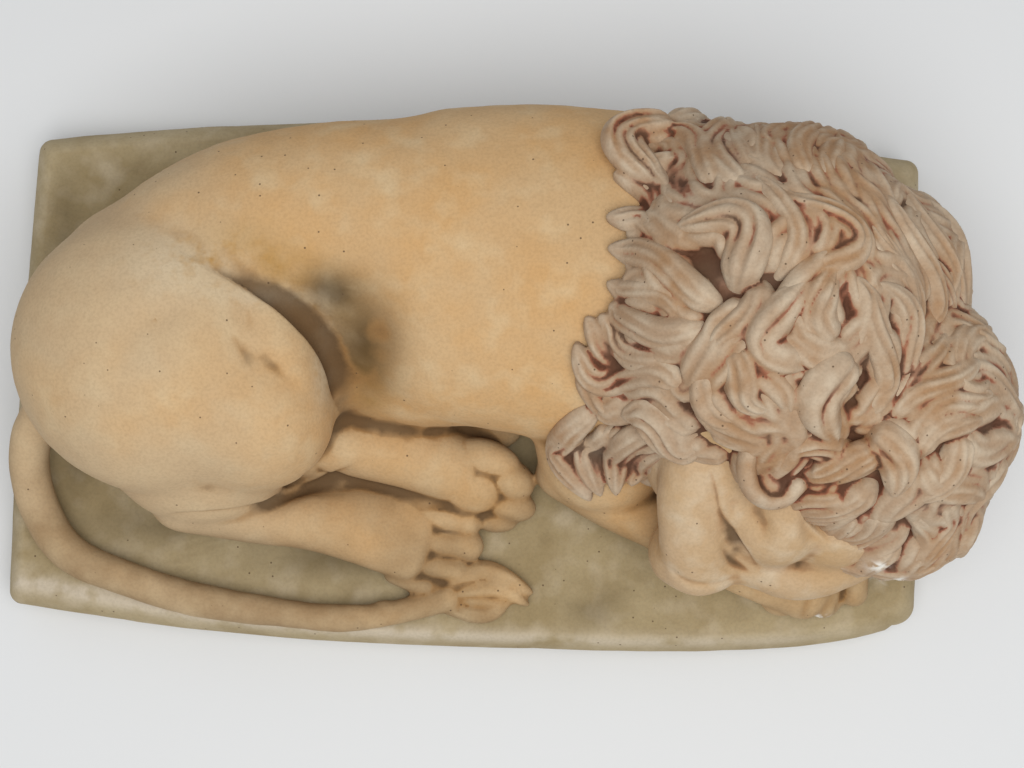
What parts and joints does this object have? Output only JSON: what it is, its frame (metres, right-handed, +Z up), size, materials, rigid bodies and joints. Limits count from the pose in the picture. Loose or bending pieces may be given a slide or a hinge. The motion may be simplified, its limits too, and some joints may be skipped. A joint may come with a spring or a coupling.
{
  "type": "recumbent lion sculpture",
  "caption": "Sleeping lion curled on a low bowed plinth, cast in one piece, head on its forepaw and tail laid round the hind feet.",
  "frame": {"origin": "on the floor, at the middle of the plinth's flat underside", "axes": "+X along the plinth from the rump to the mane, -Y to the side that the face and the hind paws turn to, +Z up"},
  "size_m": [0.486, 0.2636, 0.1928],
  "materials": {
    "cast": "matt painted plaster with worn patina"
  },
  "bodies": {
    "root": {"lion_on_plinth": "cast"}
  },
  "joints": []
}
